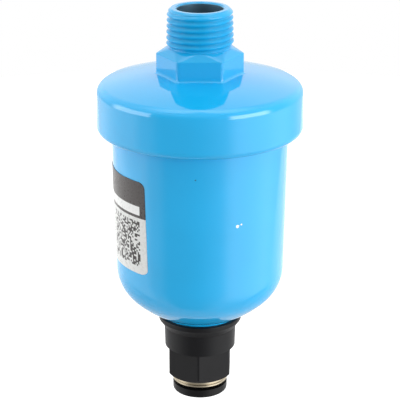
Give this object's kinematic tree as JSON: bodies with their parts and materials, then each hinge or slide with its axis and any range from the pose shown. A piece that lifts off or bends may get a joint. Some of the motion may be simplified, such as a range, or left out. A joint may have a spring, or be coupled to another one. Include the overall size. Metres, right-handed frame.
{
  "type": "automatic drain valve",
  "caption": "Float-operated automatic drain valve: enamelled cap and bowl, male pipe inlet with hexagon on top, push-in tube outlet below.",
  "frame": {"origin": "on the axis at the inlet shoulder, where the threaded spigot leaves the hexagon", "axes": "+Z along the axis, up out of the inlet; -Y is the front, seen in the picture; the sticker is on the -X side"},
  "size_m": [0.065, 0.065, 0.129],
  "materials": {
    "enamel": "gloss",
    "label_film": "satin",
    "black_plastic": "satin",
    "plated_brass": "polished",
    "brass": "satin",
    "steel": "satin",
    "rubber": "matte",
    "white_plastic": "satin",
    "grey_plastic": "satin",
    "float_plastic": "matte"
  },
  "bodies": {
    "housing": {"cap": "enamel", "cap_o_ring": "rubber", "bowl": "enamel", "side_label": "label_film", "drain_housing": "grey_plastic", "housing_o_ring": "rubber", "strainer": "steel", "return_spring": "steel", "guide_column": "grey_plastic", "column_o_ring": "rubber", "pilot_nozzle": "brass", "pilot_yoke": "white_plastic", "hinge_pin": "steel", "outlet_body": "black_plastic", "outlet_o_ring": "rubber", "tube_seal": "rubber", "guide_ring": "plated_brass"},
    "float": {"float": "float_plastic"},
    "lever": {"pilot_lever": "steel", "lever_pad": "rubber"},
    "piston": {"piston": "white_plastic", "piston_o_ring": "rubber", "bleed_jet": "brass", "valve_disc": "brass", "valve_washer": "rubber"},
    "release": {"collet": "steel", "release_sleeve": "black_plastic"}
  },
  "joints": [
    {"name": "float_rise", "type": "slide", "parent": "housing", "child": "float", "axis": [0, 0, 1], "range_m": [0, 0.0045]},
    {"name": "lever_tilt", "type": "hinge", "parent": "housing", "child": "lever", "pos_m": [-0.008, 0, -0.02608], "axis": [0, -1, 0], "range_deg": [0, 11.7]},
    {"name": "piston_open", "type": "slide", "parent": "housing", "child": "piston", "axis": [0, 0, -1], "range_m": [0, 0.0025], "stiffness_N_per_m": 600, "springref_m": -0.006, "deforming": ["return_spring"]},
    {"name": "release_press", "type": "slide", "parent": "housing", "child": "release", "axis": [0, 0, 1], "range_m": [0, 0.0009], "stiffness_N_per_m": 200, "springref_m": -0.002}
  ],
  "couplings": [
    {"joint": "lever_tilt", "follows": "float_rise", "rad_per_m": 45.3}
  ]
}
